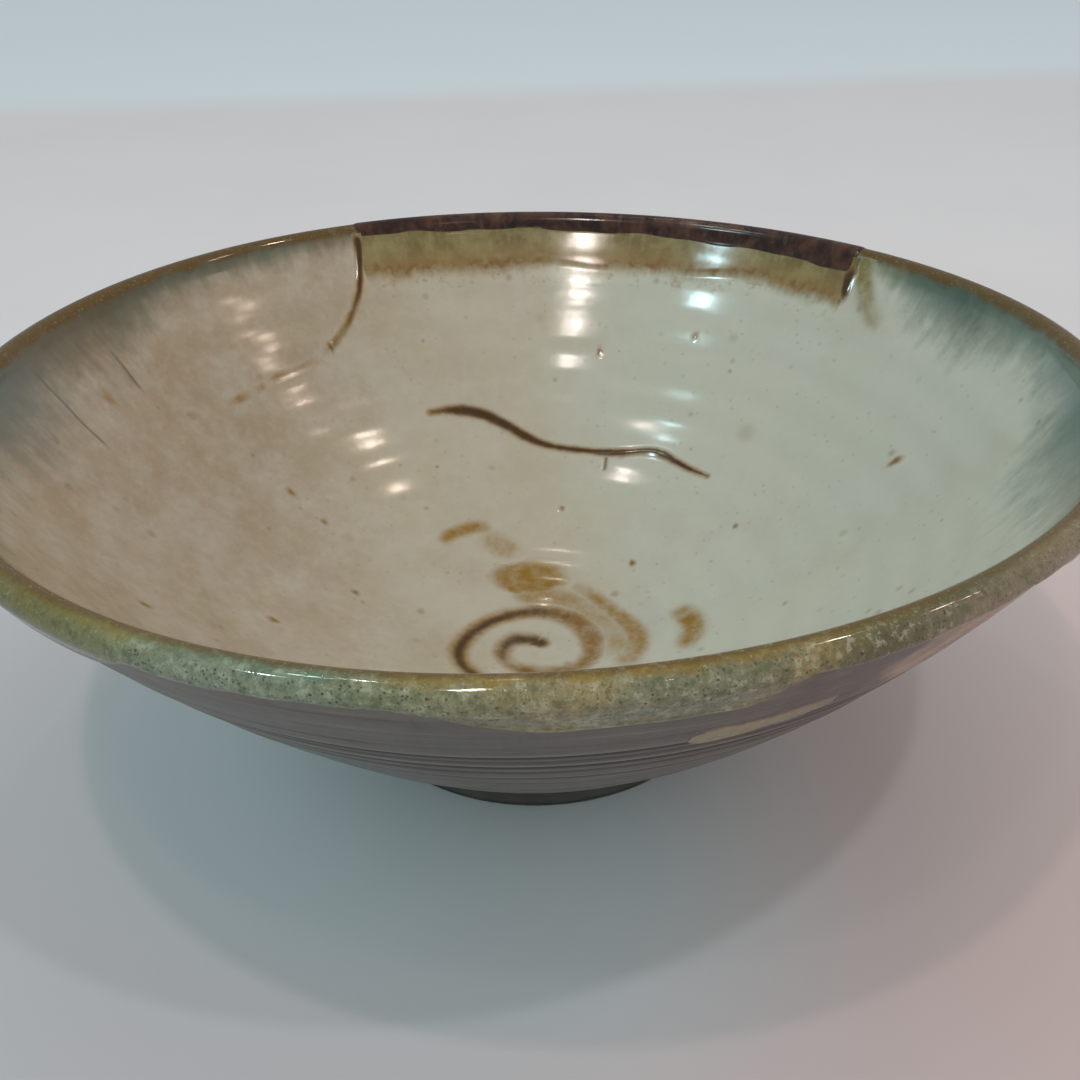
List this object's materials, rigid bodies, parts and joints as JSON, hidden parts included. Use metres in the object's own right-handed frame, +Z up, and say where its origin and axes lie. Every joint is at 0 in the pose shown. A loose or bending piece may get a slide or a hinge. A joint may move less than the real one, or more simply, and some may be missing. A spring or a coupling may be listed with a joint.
{
  "type": "footed bowl",
  "caption": "Wide flared stoneware bowl on a small foot ring, with a second glaze over the lip, an iron band round its back and iron brushwork inside.",
  "frame": {"origin": "middle of the foot ring's base, on the table", "axes": "+Z up along the axis the bowl was thrown on; +Y towards the back of the bowl, where the iron band is; +X to the right"},
  "size_m": [0.25, 0.25, 0.0933],
  "materials": {
    "bare_clay": "bare fired stoneware, slightly rough",
    "dark_clay": "bare dark iron-bearing stoneware, matt",
    "cream_glaze": "glossy cream-grey glaze with small iron specks",
    "grey_glaze": "satin dark grey-brown glaze over throwing rings",
    "green_ochre_glaze": "glossy mottled green and ochre glaze with pinholes",
    "dark_iron": "glossy dark brown iron under a clear skin",
    "amber_iron": "glossy amber where thin iron ran into the glaze",
    "pale_glaze": "glossy pale glaze settled in a throwing ring"
  },
  "bodies": {
    "root": {"clay_body": "bare_clay", "foot_ring": "dark_clay", "inside_glaze": "cream_glaze", "outside_glaze": "grey_glaze", "lip_glaze": "green_ochre_glaze", "iron_rim_band": "dark_iron", "amber_run": "amber_iron", "wall_line": "dark_iron", "floor_spiral": "dark_iron", "spiral_tail": "amber_iron", "pale_streak": "pale_glaze"}
  },
  "joints": []
}
